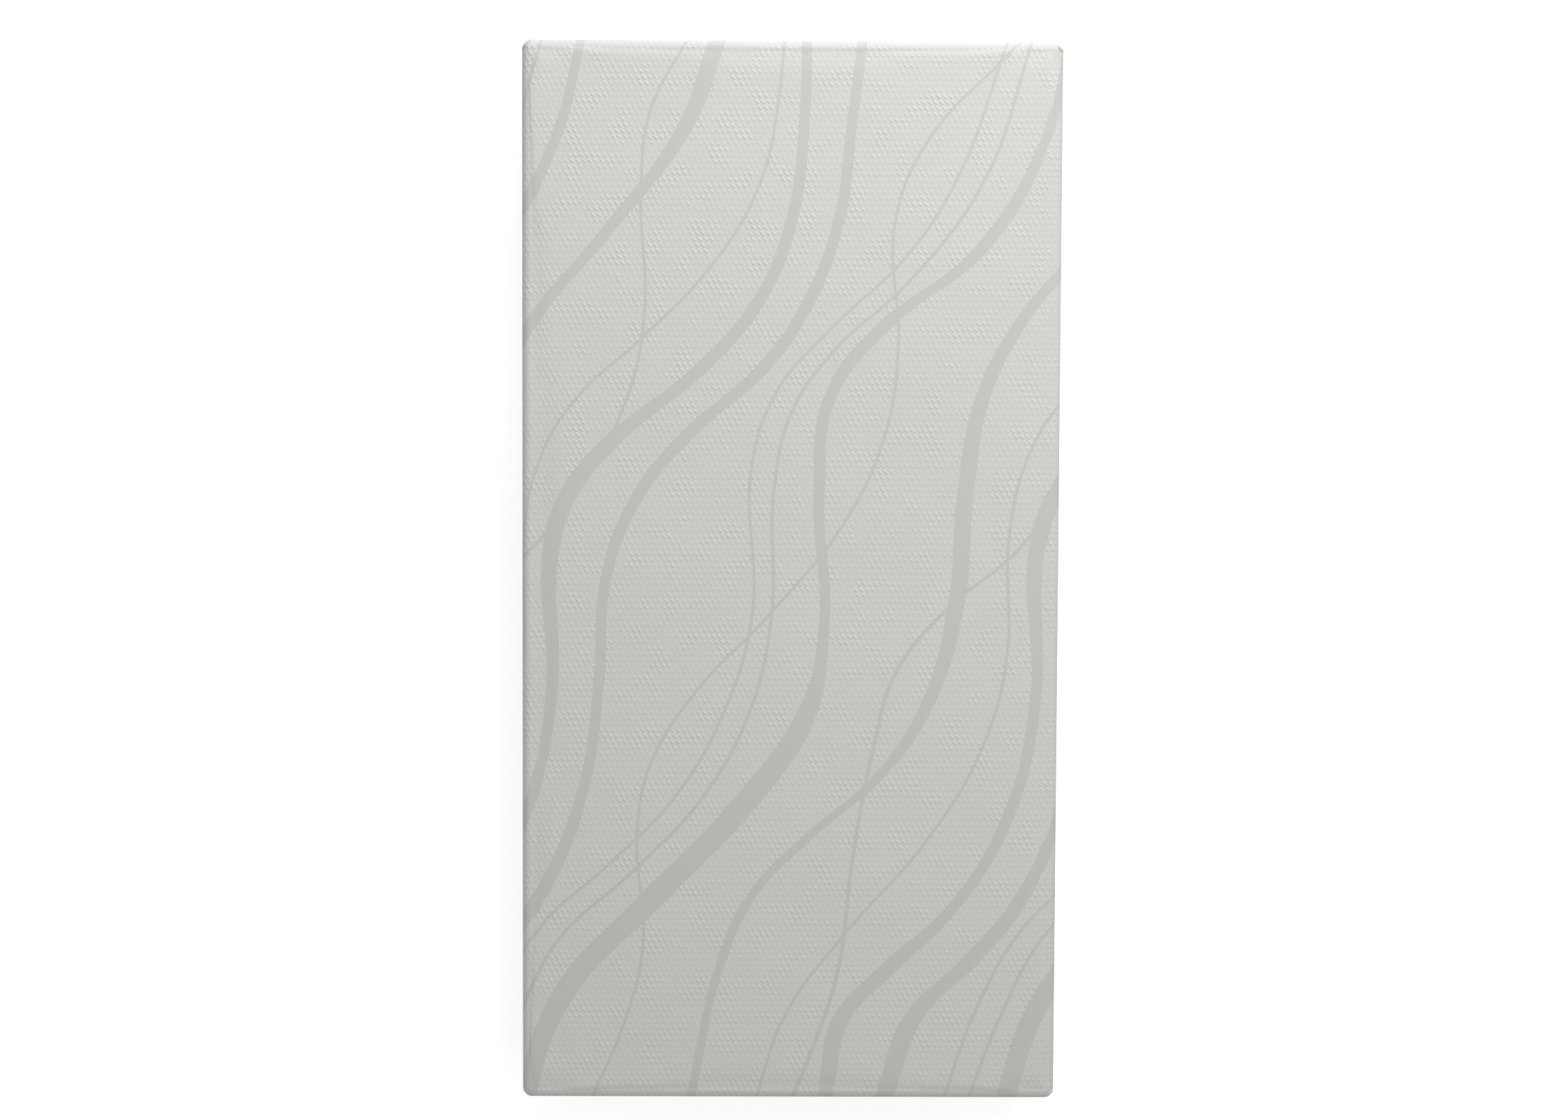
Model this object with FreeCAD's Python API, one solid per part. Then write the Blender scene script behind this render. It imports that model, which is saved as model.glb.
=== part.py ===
import FreeCAD, Part
import os

from FreeCAD import Vector

# Memory foam mattress, twin size, lying flat on its base. All sizes are in millimetres.
# +X runs across the width, +Y to the head end, +Z up. The origin is the middle of the underside.

# The whole mattress
mattress_width = 965.0
mattress_length = 1905.0
mattress_height = 203.0

# Foam block: three layers, one on the other
memory_foam_depth = 50.0
transition_foam_depth = 50.0
foam_top_radius = 15.0
foam_base_radius = 3.0
foam_corner_extra = 5.0  # upright corners are this much rounder than the top edge

# Cloth round the foam
cover_thickness = 3.0
sleeve_thickness = 1.2
layer_clearance = 0.3  # between a layer and what it lies on or under
sleeve_clearance = 0.7  # beside the foam, so that the slider clears the sleeve

# Zip that joins the top of the cover to its base
zip_height = 30.0  # middle of the zip above the floor
row_gap = 1.4  # bare middle between the two coil rows
row_width = 2.3
row_thickness = 2.0
tape_width = 12.0
tape_thickness = 0.6
slot_clearance = 0.05
cloth_clearance = 1.75  # from the slider's edge to the cloth's edge

# Where the zip starts and ends, under a patch near one head corner
patch_from_head = 70.0  # middle of the patch to the head end
patch_length = 40.0
patch_width = 34.0
patch_thickness = 0.5
tape_end_gap = 8.0
stop_from_patch = 4.5
top_stop_length = 3.0
bottom_stop_length = 4.0
stop_proud = 0.25

# Slider and its pull
slider_length = 11.0
slider_tail_narrowing = 0.8
run_clearance = 0.15
lip_clearance = 0.4
lip_width = 1.35
outer_plate_thickness = 1.1
inner_plate_thickness = 0.9
post_length = 3.0
post_thickness = 0.8
park_clearance = 0.3
bridge_width = 2.2
bridge_length = 8.0
bridge_thickness = 1.0
pull_length = 26.0
pull_width = 8.0
pull_thickness = 1.2
pull_clearance = 0.35
pull_tip_width = 5.5

# How far each layer's outside lies inside the mattress's outside
slider_reach = row_thickness + run_clearance + inner_plate_thickness
sleeve_inset = max(cover_thickness, slider_reach) + sleeve_clearance
sleeve_inner_inset = sleeve_inset + sleeve_thickness
foam_inset = sleeve_inner_inset + layer_clearance

# Levels above the floor
sleeve_base = cover_thickness + layer_clearance
sleeve_top = mattress_height - cover_thickness - layer_clearance
foam_base = sleeve_base + sleeve_thickness + layer_clearance
foam_top = sleeve_top - sleeve_thickness - layer_clearance
memory_base = foam_top - memory_foam_depth
transition_base = memory_base - transition_foam_depth

# Half heights of the zip's parts, from the zip's middle
row_inner = row_gap / 2
row_outer = row_inner + row_width
tape_outer = row_outer + tape_width
slider_half = row_outer + lip_clearance + lip_width
cloth_edge = slider_half + cloth_clearance
tape_middle_inset = row_thickness / 2

# Places along the zipped side
side_face = mattress_width / 2
patch_middle = mattress_length / 2 - patch_from_head
top_stop_head_end = patch_middle - patch_length / 2 - stop_from_patch
top_stop_foot_end = top_stop_head_end - top_stop_length
bottom_stop_foot_end = patch_middle + patch_length / 2 + stop_from_patch
bottom_stop_head_end = bottom_stop_foot_end + bottom_stop_length
slider_nose = top_stop_foot_end - park_clearance
slider_middle = slider_nose - slider_length / 2
pull_axis_out = run_clearance + outer_plate_thickness + pull_clearance + pull_thickness / 2


def box(low, high):
    """A block between two corners."""
    size = high - low
    return Part.makeBox(size.x, size.y, size.z, low)


def prism(inset, low, high):
    """The mattress's plan, drawn in by inset, between two levels."""
    half_x = mattress_width / 2 - inset
    half_y = mattress_length / 2 - inset
    radius = foam_top_radius + foam_corner_extra + foam_inset - inset
    plan = box(Vector(-half_x, -half_y, low), Vector(half_x, half_y, high))
    uprights = [edge for edge in plan.Edges if edge.BoundBox.ZLength > (high - low) / 2]
    return plan.makeFillet(radius, uprights)


def edges_at(shape, level):
    """The edges of a shape that lie flat at one level."""
    flat = [edge for edge in shape.Edges if edge.BoundBox.ZLength < 0.01]
    return [edge for edge in flat if abs(edge.BoundBox.ZMin - level) < 0.01]


def round_top(shape, inset, level):
    """Round the upper edge so that every layer's edge has one centre line."""
    return shape.makeFillet(foam_top_radius + foam_inset - inset, edges_at(shape, level))


def round_base(shape, inset, level):
    """Round the lower edge in the same way."""
    return shape.makeFillet(foam_base_radius + foam_inset - inset, edges_at(shape, level))


def ring(outer_inset, inner_inset, low, high):
    """A band that follows the mattress's plan all the way round."""
    return prism(outer_inset, low, high).cut(prism(inner_inset, low, high))


def across(shape, side):
    """The shape as built above the zip's middle, or mirrored below it."""
    if side > 0:
        return shape
    return shape.mirror(Vector(0, 0, zip_height), Vector(0, 0, 1))


def break_in_zip(foot_end, head_end):
    """The stretch of the zipped side that a tape or coil leaves out."""
    reach = foam_inset + patch_width
    low = Vector(side_face - reach, foot_end, 0)
    return box(low, Vector(side_face + reach, head_end, zip_height + reach))


def foam_layer(low, high):
    return prism(foam_inset, low, high)


def make_foam():
    core = round_base(foam_layer(foam_base, transition_base), foam_inset, foam_base)
    top = round_top(foam_layer(memory_base, foam_top), foam_inset, foam_top)
    return {
        "support_foam_core": core,
        "transition_foam_layer": foam_layer(transition_base, memory_base),
        "memory_foam_layer": top,
    }


def rounded_block(inset, low, high):
    return round_base(round_top(prism(inset, low, high), inset, high), inset, low)


def make_sleeve():
    """A closed sock whose wall is the same all round."""
    outside = rounded_block(sleeve_inset, sleeve_base, sleeve_top)
    wall = sleeve_thickness
    inside = rounded_block(sleeve_inner_inset, sleeve_base + wall, sleeve_top - wall)
    return outside.cut(inside)


def tape_slot(side):
    """The gap between the cloth's two plies that takes the edge of a tape."""
    half = tape_thickness / 2 + slot_clearance
    end = tape_outer + slot_clearance
    slot = ring(tape_middle_inset - half, tape_middle_inset + half, zip_height, zip_height + end)
    return across(slot, side)


def make_cover_top():
    """A box of cloth, open below, that stops short of the zip."""
    low = zip_height + cloth_edge
    outside = round_top(prism(0, low, mattress_height), 0, mattress_height)
    ceiling = mattress_height - cover_thickness
    inside = round_top(prism(cover_thickness, low, ceiling), cover_thickness, ceiling)
    return outside.cut(inside).cut(tape_slot(1))


def make_cover_base():
    """A shallow tray of cloth, open above, that stops short of the zip."""
    high = zip_height - cloth_edge
    outside = round_base(prism(0, 0, high), 0, 0)
    inside = round_base(prism(cover_thickness, cover_thickness, high), cover_thickness, cover_thickness)
    return outside.cut(inside).cut(tape_slot(-1))


def make_tape(side):
    half = tape_thickness / 2
    low = zip_height + row_outer
    high = zip_height + tape_outer
    tape = ring(tape_middle_inset - half, tape_middle_inset + half, low, high)
    gap = tape_end_gap / 2
    return across(tape.cut(break_in_zip(patch_middle - gap, patch_middle + gap)), side)


def make_coil(side):
    """The outer shape of one row of coil."""
    row = ring(0, row_thickness, zip_height + row_inner, zip_height + row_outer)
    return across(row.cut(break_in_zip(top_stop_foot_end, bottom_stop_head_end)), side)


def stop_block(foot_end, head_end, low, high):
    outer = Vector(side_face + stop_proud, head_end, zip_height + high)
    return box(Vector(side_face - row_thickness - stop_proud, foot_end, zip_height + low), outer)


def make_top_stops():
    """A clip at the end of each row, as two separate solids."""
    upper = stop_block(top_stop_foot_end, top_stop_head_end, row_inner, row_outer)
    return Part.makeCompound([upper, across(upper, -1)])


def make_bottom_stop():
    return stop_block(bottom_stop_foot_end, bottom_stop_head_end, -row_outer, row_outer)


def make_patch():
    """A cloth patch over the two ends of the zip, flat on the cover's outside."""
    half = Vector(0, patch_length / 2, patch_width / 2)
    middle = Vector(side_face, patch_middle, zip_height)
    return box(middle - half, middle + half + Vector(patch_thickness, 0, 0))


def plate(near, far):
    """One plate of the slider, a little narrower at its tail; near and far are distances
    outwards from the mattress's side."""
    nose = slider_nose
    tail = slider_nose - slider_length
    tail_half = slider_half - slider_tail_narrowing
    corners = [(nose, slider_half), (tail, tail_half), (tail, -tail_half), (nose, -slider_half)]
    points = [Vector(side_face + near, y, zip_height + z) for y, z in corners]
    solid = Part.Face(Part.makePolygon(points + points[:1])).extrude(Vector(far - near, 0, 0))
    thick = far - near
    short = [edge for edge in solid.Edges if abs(edge.BoundBox.XLength - thick) < 0.01]
    return solid.makeFillet(outer_plate_thickness, short)


def slider_block(near, far, foot_end, head_end, low, high):
    """A block on the slider; near and far are distances outwards from the mattress's side."""
    low_corner = Vector(side_face + near, foot_end, zip_height + low)
    return box(low_corner, Vector(side_face + far, head_end, zip_height + high))


def slider_lips():
    """Four low walls that keep the rows in the channel and leave a slit for each tape."""
    slit = tape_thickness / 2 + run_clearance
    tail_half = slider_half - slider_tail_narrowing
    foot_end = slider_nose - slider_length + outer_plate_thickness
    head_end = slider_nose - outer_plate_thickness
    low = row_outer + lip_clearance
    outer = slider_block(slit - tape_middle_inset, run_clearance, foot_end, head_end, low, tail_half)
    inner_face = -row_thickness - run_clearance
    inner = slider_block(inner_face, -slit - tape_middle_inset, foot_end, head_end, low, tail_half)
    return [across(lip, side) for lip in (outer, inner) for side in (1, -1)]


def slider_bridge():
    """The arch that the pull hangs on."""
    near = run_clearance + outer_plate_thickness
    gap_top = near + 2 * pull_clearance + pull_thickness
    far = gap_top + bridge_thickness
    half = bridge_length / 2
    sides = (slider_middle - half, slider_middle + half, -bridge_width / 2, bridge_width / 2)
    arch = slider_block(near, far, *sides)
    crown = [edge for edge in arch.Edges if edge.BoundBox.XMin > side_face + far - 0.01]
    rim = [edge for edge in crown if edge.BoundBox.ZLength > bridge_width / 2]
    arch = arch.makeFillet(bridge_thickness, rim)
    foot_end = slider_middle - half + bridge_thickness
    head_end = slider_middle + half - bridge_thickness
    return arch.cut(slider_block(near, gap_top, foot_end, head_end, -bridge_width, bridge_width))


def make_slider():
    """Two plates, the post that parts the rows, the lips and the bridge, as one casting."""
    outer = plate(run_clearance, run_clearance + outer_plate_thickness)
    inner_face = -row_thickness - run_clearance
    inner = plate(inner_face - inner_plate_thickness, inner_face)
    post_head = slider_nose - outer_plate_thickness
    half = post_thickness / 2
    post = slider_block(inner_face, run_clearance, post_head - post_length, post_head, -half, half)
    return outer.multiFuse([inner, post, slider_bridge()] + slider_lips()).removeSplitter()


def make_pull():
    """A flat tab that lies along the zip; the round bar at its end turns under the bridge."""
    near = pull_axis_out - pull_thickness / 2
    far = pull_axis_out + pull_thickness / 2
    tip = slider_middle - pull_length + pull_thickness / 2
    wide = pull_width / 2
    narrow = pull_tip_width / 2
    corners = [(slider_middle, wide), (tip, narrow), (tip, -narrow), (slider_middle, -wide)]
    points = [Vector(side_face + near, y, zip_height + z) for y, z in corners]
    tab = Part.Face(Part.makePolygon(points + points[:1])).extrude(Vector(far - near, 0, 0))
    uprights = [edge for edge in tab.Edges if abs(edge.BoundBox.XLength - pull_thickness) < 0.01]
    tab = tab.makeFillet(pull_thickness, [edge for edge in uprights if edge.BoundBox.YMax < tip + 0.01])
    window_half = bridge_width / 2 + pull_clearance
    window_end = slider_middle - bridge_length / 2 - 2 * pull_clearance
    window = slider_block(near, far, window_end, slider_middle, -window_half, window_half)
    bar_end = Vector(side_face + pull_axis_out, slider_middle, zip_height - wide)
    bar = Part.makeCylinder(pull_thickness / 2, pull_width, bar_end, Vector(0, 0, 1))
    return tab.cut(window).fuse(bar).removeSplitter()


def make_parts():
    parts = make_foam()
    parts["fire_barrier_sleeve"] = make_sleeve()
    parts["cover_top"] = make_cover_top()
    parts["cover_base"] = make_cover_base()
    for name, side in (("upper", 1), ("lower", -1)):
        parts["zip_tape_" + name] = make_tape(side)
        parts["zip_coil_" + name] = make_coil(side)
    parts["zip_top_stops"] = make_top_stops()
    parts["zip_bottom_stop"] = make_bottom_stop()
    parts["zip_end_patch"] = make_patch()
    parts["slider_body"] = make_slider()
    parts["pull_tab"] = make_pull()
    return parts


def travel():
    """How far the slider runs along the straight of the zipped side."""
    corner_radius = foam_top_radius + foam_corner_extra + foam_inset
    return slider_nose - slider_length + mattress_length / 2 - corner_radius


os.makedirs("parts", exist_ok=True)
for node, shape in make_parts().items():
    shape.exportStep("parts/" + node + ".step")
    print(node, len(shape.Solids), "solids, valid:", shape.isValid())

print("slider and pull axis:", [round(v, 3) for v in (side_face + pull_axis_out, slider_middle, zip_height)])
print("slider travel:", round(travel(), 1))
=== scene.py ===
# %% [markdown]
# # A memory foam mattress, modelled piece by piece
#
# The mattress lies flat on a pale floor. Its block of three foams sits in a thin knitted sleeve,
# and a zip-off cover goes round both: a boxed top of soft knit with wavy ribbons worked into it,
# and a shallow tray of plainer cloth underneath. The frame gives every size; each step below
# models one piece, or one finish, of the real object.

# %% The frame
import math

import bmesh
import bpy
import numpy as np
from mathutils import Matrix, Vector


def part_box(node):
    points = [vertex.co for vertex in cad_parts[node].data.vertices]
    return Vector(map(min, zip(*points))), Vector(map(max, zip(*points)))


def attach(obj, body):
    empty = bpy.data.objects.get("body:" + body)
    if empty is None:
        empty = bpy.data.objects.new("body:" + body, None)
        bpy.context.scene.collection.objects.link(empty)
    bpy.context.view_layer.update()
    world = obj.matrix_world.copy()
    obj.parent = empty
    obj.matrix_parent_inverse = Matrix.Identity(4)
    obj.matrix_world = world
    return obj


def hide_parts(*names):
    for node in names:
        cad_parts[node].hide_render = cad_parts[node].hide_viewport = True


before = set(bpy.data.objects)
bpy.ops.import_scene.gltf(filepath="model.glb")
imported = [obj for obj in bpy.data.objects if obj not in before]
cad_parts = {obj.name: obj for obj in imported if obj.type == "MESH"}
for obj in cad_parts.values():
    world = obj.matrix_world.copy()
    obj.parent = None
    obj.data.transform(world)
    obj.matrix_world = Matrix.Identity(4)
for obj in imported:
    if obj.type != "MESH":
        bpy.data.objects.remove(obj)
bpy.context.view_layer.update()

# %% [markdown]
# ## Sizes
#
# Everything is in metres. The outside, the level of the zip and the middle of its break come
# from the frame. Sizes that recur are named once here: the two radii that round the cloth, how
# far up the hem reaches, and how far from the cloth's edge it is stitched.

MM = 0.001


def box_of(node):
    """Lowest and highest corner of a node of the frame, as two arrays."""
    low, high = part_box(node)
    return np.array(low), np.array(high)


top_low, top_high = box_of("cover_top")
base_high = box_of("cover_base")[1]
half_width, half_length, height = top_high
zip_level = (top_low[2] + base_high[2]) / 2
patch_low, patch_high = box_of("zip_end_patch")
break_middle = (patch_low[1] + patch_high[1]) / 2
plan_radius = 25.3 * MM  # upright corners, at the hem
edge_radius = 16 * MM  # the sleep face's edge, and the upright corners at the top
hem_depth = 7 * MM
stitch_line = 3 * MM
print("half sizes", round(half_width, 4), round(half_length, 4), "zip level", round(zip_level, 4))

# %% [markdown]
# ## Turning arrays into meshes
#
# A surface here is a function of two parameters worked out on a grid. The whole grid is one
# numpy array, and one helper puts the array into a Blender mesh, which is far quicker than
# adding vertices one by one and keeps the formula in sight.


# %% Grids and meshes
def grid_quads(rows, columns, closed_rows=False, closed_columns=False, flip=False):
    """Faces between neighbours of a rows x columns grid that is stored row after row."""
    row = np.arange(rows if closed_rows else rows - 1)
    column = np.arange(columns if closed_columns else columns - 1)
    row, column = (a.ravel() for a in np.meshgrid(row, column, indexing="ij"))
    next_row, next_column = (row + 1) % rows, (column + 1) % columns
    corners = [(row, column), (next_row, column), (next_row, next_column), (row, next_column)]
    quads = np.stack([r * columns + c for r, c in corners], axis=1)
    return quads[:, ::-1] if flip else quads


def make_mesh(name, points, faces, uv=None, smooth=True):
    """A mesh object from an array of points and an array of faces with one corner count.
    uv holds one pair for each corner of each face."""
    mesh = bpy.data.meshes.new(name)
    corner_count = faces.shape[1]
    mesh.vertices.add(len(points))
    mesh.vertices.foreach_set("co", np.ascontiguousarray(points, np.float32).ravel())
    mesh.loops.add(faces.size)
    mesh.loops.foreach_set("vertex_index", np.ascontiguousarray(faces, np.int32).ravel())
    mesh.polygons.add(len(faces))
    mesh.polygons.foreach_set("loop_start", np.arange(0, faces.size, corner_count, dtype=np.int32))
    mesh.polygons.foreach_set("use_smooth", np.full(len(faces), smooth))
    if uv is not None:
        layer = mesh.uv_layers.new(name="cloth")
        layer.data.foreach_set("uv", np.ascontiguousarray(uv, np.float32).ravel())
    mesh.update(calc_edges=True)
    mesh.validate()
    piece = bpy.data.objects.new(name, mesh)
    bpy.context.scene.collection.objects.link(piece)
    return piece


def weld(piece, distance=0.01 * MM, outwards=False):
    """Joins points that lie on each other, and turns a closed surface's faces outwards."""
    work = bmesh.new()
    work.from_mesh(piece.data)
    bmesh.ops.remove_doubles(work, verts=work.verts, dist=distance)
    if outwards:
        bmesh.ops.recalc_face_normals(work, faces=work.faces)
    work.to_mesh(piece.data)
    work.free()
    return piece


def get_points(piece):
    points = np.empty(len(piece.data.vertices) * 3, np.float32)
    piece.data.vertices.foreach_get("co", points)
    return points.reshape(-1, 3).astype(float)


def set_points(piece, points):
    piece.data.vertices.foreach_set("co", np.ascontiguousarray(points, np.float32).ravel())
    piece.data.update()


def get_normals(piece):
    normals = np.empty(len(piece.data.vertices) * 3, np.float32)
    piece.data.vertices.foreach_get("normal", normals)
    return normals.reshape(-1, 3).astype(float)


def apply_modifiers(piece):
    """Replaces the piece's mesh by what its modifiers make of it."""
    graph = bpy.context.evaluated_depsgraph_get()
    done = bpy.data.meshes.new_from_object(piece.evaluated_get(graph), depsgraph=graph)
    piece.modifiers.clear()
    piece.data = done
    return piece


def bell(distance, width):
    """A smooth bump: 1 at no distance, falling away over about one width."""
    return np.exp(-((distance / width) ** 2))


# %% [markdown]
# ## Seeing the object
#
# The camera hangs above the sleep face and looks down, a little nearer to the head end, so that
# the head end comes out slightly wider. A long lens keeps the sides parallel. The lamps follow
# in a later step, once there is something for them to light.

# %% Camera
camera_data = bpy.data.cameras.new("camera")
camera_data.sensor_width = 36
camera_data.lens = 64
camera = bpy.data.objects.new("camera", camera_data)
camera.location = (-0.049, 0.311, 5.2)
camera.rotation_euler = [math.radians(a) for a in (-3.26, -0.41, 0.25)]
bpy.context.scene.collection.objects.link(camera)
bpy.context.scene.camera = camera
bpy.context.scene.view_settings.view_transform = "Standard"

# %% [markdown]
# ## Skins round a box
#
# Every layer of a mattress is a skin round the same block: the cover, the fire sleeve, and each
# slab of foam. So one function makes them all. It lays a grid over the faces of a plain box and
# rounds the box by one rule: clamp a point to an inner box, and push it out again by the radius
# along the line between the two. A second step opens the four upright corners to a larger
# round. Each point also keeps its place on the flat cloth, in metres, as its UV. The woven
# pattern then runs over the edges unbroken, and only jumps at the four sewn corners.


# %% A skin of cloth or foam
def box_line(half, radii, plan_radius, step, bend_steps):
    """Places across a box: evenly apart on the flat middle, closer near the corners. An offset
    of radius * tan(angle) past the flat part ends up at that angle on the round."""
    inner = half - plan_radius
    middle = np.linspace(-inner, inner, max(2, round(2 * inner / step)) + 1)
    angles = np.linspace(0, np.pi / 4, bend_steps + 1)
    near = [half - radius + radius * np.tan(angles) for radius in radii]
    turn_steps = max(1, round((plan_radius - max(radii)) / (4 * MM)))
    near.append(np.linspace(inner, half - max(radii), turn_steps + 1))
    near = np.unique(np.round(np.concatenate(near), 5))
    return np.unique(np.round(np.concatenate([-near, middle, near]), 5))


def cloth_length(place, half, radius):
    """How far along the cloth a place on the box lies from the middle, round included."""
    flat = half - radius
    past = np.maximum(np.abs(place) - flat, 0)
    return np.sign(place) * (np.minimum(np.abs(place), flat) + radius * np.arctan(past / radius))


def open_corners(points, half, radius, plan_radius):
    """Rounds the plan's corners further, by one value or one for each point: a point keeps its
    distance from the outline, and its direction from the middle of the larger round."""
    plan_radius = np.broadcast_to(plan_radius, radius.shape)[:, None]
    flat = np.abs(points[:, :2]) - (half - radius[:, None])
    outside = np.linalg.norm(np.maximum(flat, 0), axis=1) + np.minimum(flat.max(axis=1), 0)
    inset = radius - outside
    from_core = np.abs(points[:, :2]) - (half - plan_radius)
    in_corner = (from_core > 0).all(axis=1)
    length = np.maximum(np.linalg.norm(from_core, axis=1, keepdims=True), 1e-9)
    moved = half - plan_radius + from_core / length * (plan_radius - inset[:, None])
    points[in_corner, :2] = (np.sign(points[:, :2]) * moved)[in_corner]
    return points


def box_skin(name, half, low, high, radius, plan_radius, low_radius=None,
             step=18 * MM, bend_steps=6, extra_levels=(), upside_down=False, top_corner=None):
    """A skin round a box from low to high, with half = (half width, half length). Its edges
    are rounded by radius above and low_radius below; with no low_radius it is open below. The
    plan's corners are rounded by plan_radius; with a top_corner they pass smoothly into that
    radius between 20 and 100 mm above low."""
    half = np.array(half)
    closed = low_radius is not None
    radii = [radius, low_radius] if closed else [radius]
    xs = box_line(half[0], radii, plan_radius, step, bend_steps)
    ys = box_line(half[1], radii, plan_radius, step, bend_steps)
    tangents = np.tan(np.linspace(0, np.pi / 4, bend_steps + 1))
    floor_level = low + low_radius if closed else low
    walls = max(2, round((high - radius - floor_level) / step)) + 1
    zs = [np.linspace(floor_level, high - radius, walls), high - radius + radius * tangents]
    if closed:
        zs.append(floor_level - low_radius * tangents)
    zs = np.unique(np.round(np.concatenate([*zs, extra_levels]), 5))
    past = np.maximum(zs - (high - radius), 0)
    down = radius * (np.pi / 2 - np.arctan(past / radius)) + np.maximum(high - radius - zs, 0)
    run_x, run_y = (cloth_length(line, h, radius) for line, h in ((xs, half[0]), (ys, half[1])))
    patches = []
    for level, turned in ((high, False), (low, True))[: 2 if closed else 1]:
        x, y = np.meshgrid(xs, ys, indexing="ij")
        u, v = np.meshgrid(run_x, run_y, indexing="ij")
        patches.append((x, y, np.full_like(x, level), u, v, turned))
    for side in (1, -1):
        y, z = np.meshgrid(ys, zs, indexing="ij")
        v, u = np.meshgrid(run_y, side * (half[0] - radius + down), indexing="ij")
        patches.append((np.full_like(y, side * half[0]), y, z, u, v, side < 0))
        x, z = np.meshgrid(xs, zs, indexing="ij")
        u, v = np.meshgrid(run_x, side * (half[1] - radius + down), indexing="ij")
        patches.append((x, np.full_like(x, side * half[1]), z, u, v, side > 0))
    points, faces, uvs, count = [], [], [], 0
    for x, y, z, u, v, turned in patches:
        quads = grid_quads(*x.shape, flip=turned != upside_down)
        points.append(np.stack([x, y, z], axis=-1).reshape(-1, 3))
        faces.append(quads + count)
        uvs.append(np.stack([u, v], axis=-1).reshape(-1, 2)[quads])
        count += x.size
    points = np.concatenate(points)
    in_top = points[:, 2] > (low + high) / 2
    radius_here = np.where(in_top, radius, low_radius) if closed else np.full(count, radius)
    core = points.copy()
    core[:, :2] = np.clip(points[:, :2], radius_here[:, None] - half, half - radius_here[:, None])
    core[:, 2] = np.clip(points[:, 2], floor_level, high - radius)
    out = points - core
    out /= np.linalg.norm(out, axis=1, keepdims=True)
    corner = np.full(len(points), plan_radius)
    if top_corner is not None:
        rise = np.clip((points[:, 2] - low - 20 * MM) / (80 * MM), 0, 1)
        corner += (top_corner - plan_radius) * rise**2 * (3 - 2 * rise)
    points = open_corners(core + radius_here[:, None] * out, half, radius_here, corner)
    if upside_down:
        points[:, 2] *= -1
    return weld(make_mesh(name, points, np.concatenate(faces), np.concatenate(uvs)))


# %% [markdown]
# ## Letting the cover settle
#
# A cover that was only rounded by formula looks like a tin lid. The real one is held at its
# hem, where the zip is sewn in, and at its four corner seams, and the foam presses it out
# between them. A short cloth simulation does just that: the held points are pinned, a gentle
# pressure fills the cover. Foam keeps its shape and its edges, so only the outward part of each
# move is kept, and that is capped.


# %% Settle a held cloth
def settle(piece, held, pressure, cap, frames=20):
    """Runs a pinned, lightly inflated cloth for some frames and keeps how far each point came
    outwards, up to cap."""
    before, normals = get_points(piece), get_normals(piece)
    group = piece.vertex_groups.new(name="held")
    for index in np.flatnonzero(held > 0):
        group.add([int(index)], float(held[index]), "REPLACE")
    cloth = piece.modifiers.new("cloth", "CLOTH")
    settings = cloth.settings
    settings.quality = 6
    settings.mass = 0.3
    settings.tension_stiffness = 25
    settings.compression_stiffness = 25
    settings.shear_stiffness = 8
    settings.bending_stiffness = 2
    settings.use_pressure = True
    settings.uniform_pressure_force = pressure
    settings.vertex_group_mass = "held"
    settings.effector_weights.gravity = 0
    cloth.collision_settings.use_collision = False
    cloth.collision_settings.use_self_collision = False
    cloth.point_cache.frame_start = 1
    cloth.point_cache.frame_end = frames
    scene = bpy.context.scene
    for number in range(1, frames + 1):
        scene.frame_set(number)
    apply_modifiers(piece)
    scene.frame_set(1)
    piece.vertex_groups.clear()
    outwards = ((get_points(piece) - before) * normals).sum(axis=1)
    rise = cap * np.tanh(np.maximum(outwards, 0) / cap)
    set_points(piece, before + normals * rise[:, None])
    print(piece.name, "settled outwards by up to", round(float(rise.max() / MM), 2), "mm")


# %% The knitted cover
half_plan = np.array([half_width, half_length])
cover_top = box_skin(
    "cover_top_knit", half_plan, top_low[2], height, edge_radius, plan_radius,
    bend_steps=10, extra_levels=(top_low[2] + hem_depth,), top_corner=edge_radius,
)


def seam_distance(points):
    """Distance of each point from the upright seam of its corner, measured in plan; a point
    outside the corners gets a metre."""
    past = np.abs(points[:, :2]) - (half_plan - plan_radius)
    apart = np.abs(past[:, 0] - past[:, 1]) / math.sqrt(2)
    return np.where((past > 0).all(axis=1), apart, 1.0)


points = get_points(cover_top)
on_wall = points[:, 2] < height - edge_radius
on_seam = on_wall & (seam_distance(points) < 0.1 * MM)
held = (points[:, 2] < top_low[2] + hem_depth + MM) | on_seam
settle(cover_top, held.astype(float), pressure=4, cap=2.5 * MM)

# %% [markdown]
# ## Corner seams, tucks and hem
#
# Sewing comes after the simulation, because its grooves are finer than the grid that was
# simulated. One level of subdivision gives the points for it. Each corner seam is a groove with
# small puckers beside it, and it ends at the top in a short tuck, where the spare knit of the
# round is caught. The tuck is strongest at one head corner. Along the hem the cloth dips under
# its row of stitches.


# %% Sew the cover
def subdivide(piece, kind="CATMULL_CLARK"):
    modifier = piece.modifiers.new("finer", "SUBSURF")
    modifier.levels = modifier.render_levels = 1
    modifier.subdivision_type = kind
    modifier.uv_smooth = "NONE"
    modifier.boundary_smooth = "ALL"
    return apply_modifiers(piece)


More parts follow.
